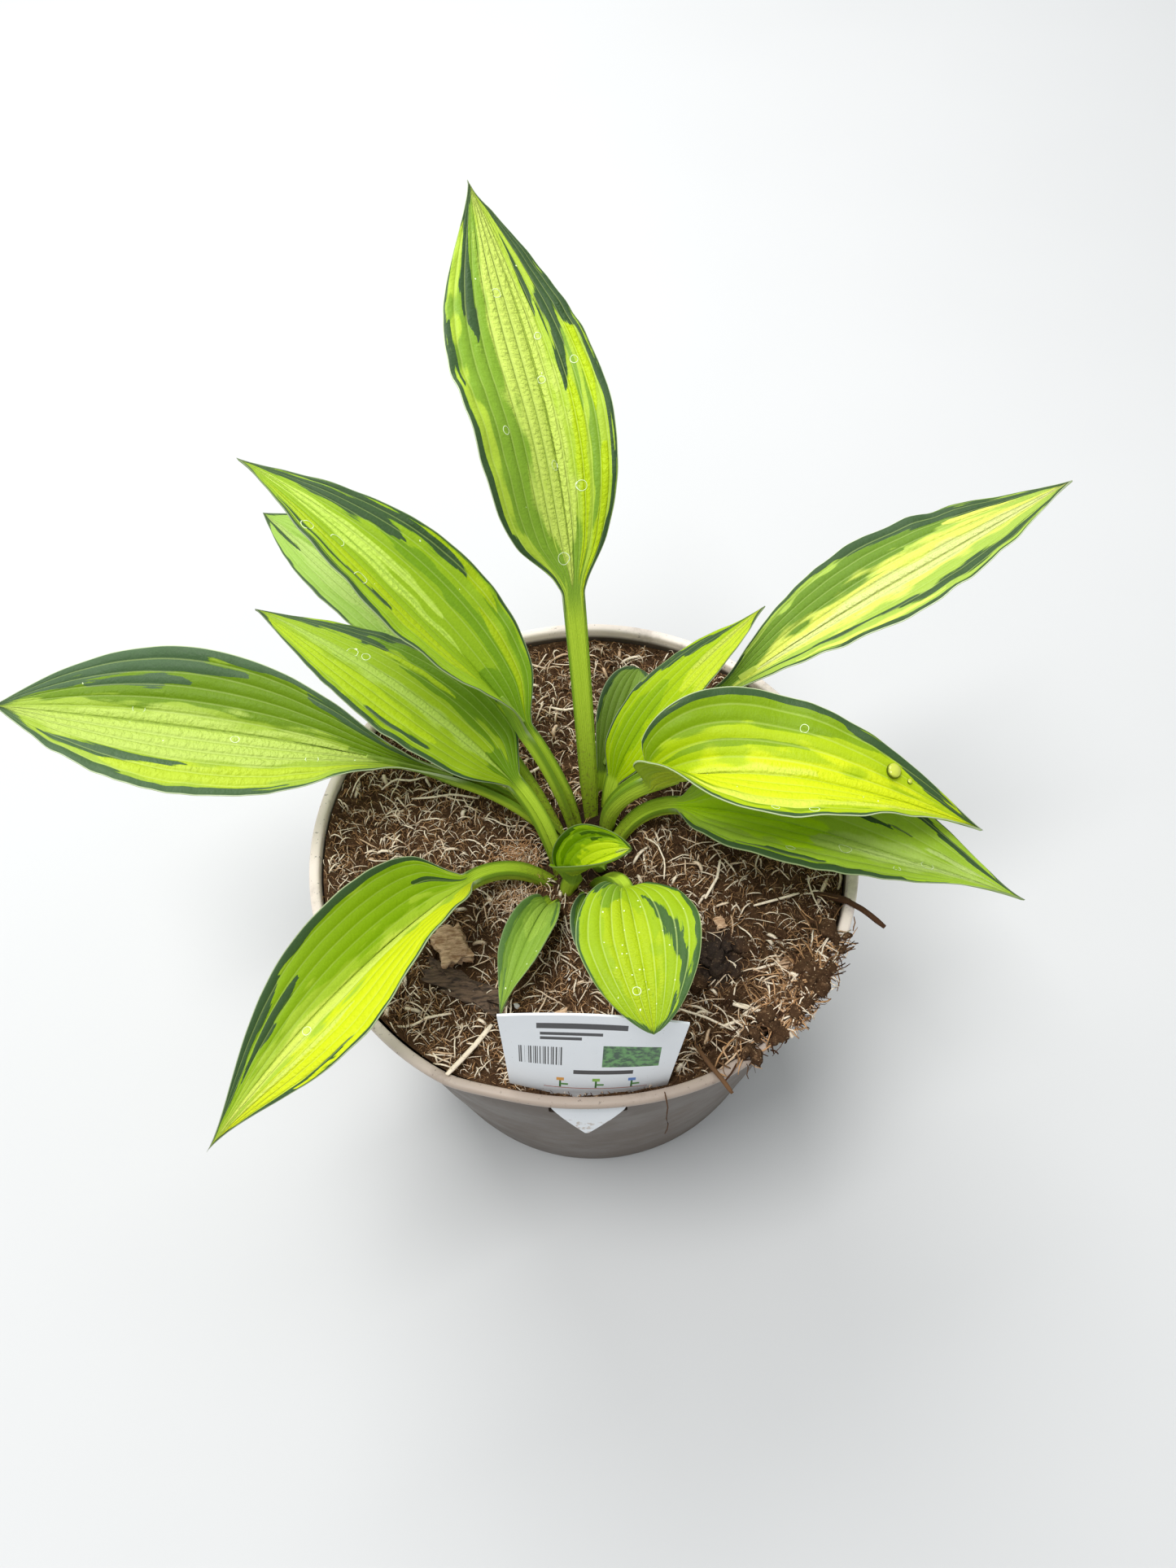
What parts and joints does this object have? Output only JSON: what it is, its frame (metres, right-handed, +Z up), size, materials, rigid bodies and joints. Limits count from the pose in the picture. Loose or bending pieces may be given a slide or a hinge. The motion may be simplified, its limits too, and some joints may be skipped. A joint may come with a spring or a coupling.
{
  "type": "potted hosta plant",
  "caption": "Leafy hosta with variegated ribbed leaves on arching stalks, growing in soil in a round tapering nursery pot with a flat rim and a curved plant label",
  "frame": {"origin": "centre of the pot's foot, on the surface the pot stands on", "axes": "+Z up out of the pot, -Y towards the side with the label, +X to the right as seen from the label's side"},
  "size_m": [0.3545, 0.2707, 0.2809],
  "materials": {
    "pot": "matt taupe-brown plastic, dusty",
    "soil": "rough dry peat with straw",
    "crown": "rough",
    "leaf": "satin, ribbed",
    "label": "smooth printed card"
  },
  "bodies": {
    "root": {"pot": "pot", "soil": "soil", "crown": "crown", "leaf_back": "leaf", "leaf_right_back": "leaf", "leaf_right_inner": "leaf", "leaf_back_small": "leaf", "leaf_right_upper": "leaf", "leaf_right_lower": "leaf", "leaf_left_back": "leaf", "leaf_left_hidden": "leaf", "leaf_left_mid": "leaf", "leaf_left": "leaf", "leaf_front_left": "leaf", "leaf_unfurling": "leaf", "leaf_front_tiny": "leaf", "leaf_front_small": "leaf", "leaf_front_round": "leaf", "shoot_tip": "leaf", "label": "label"}
  },
  "joints": []
}
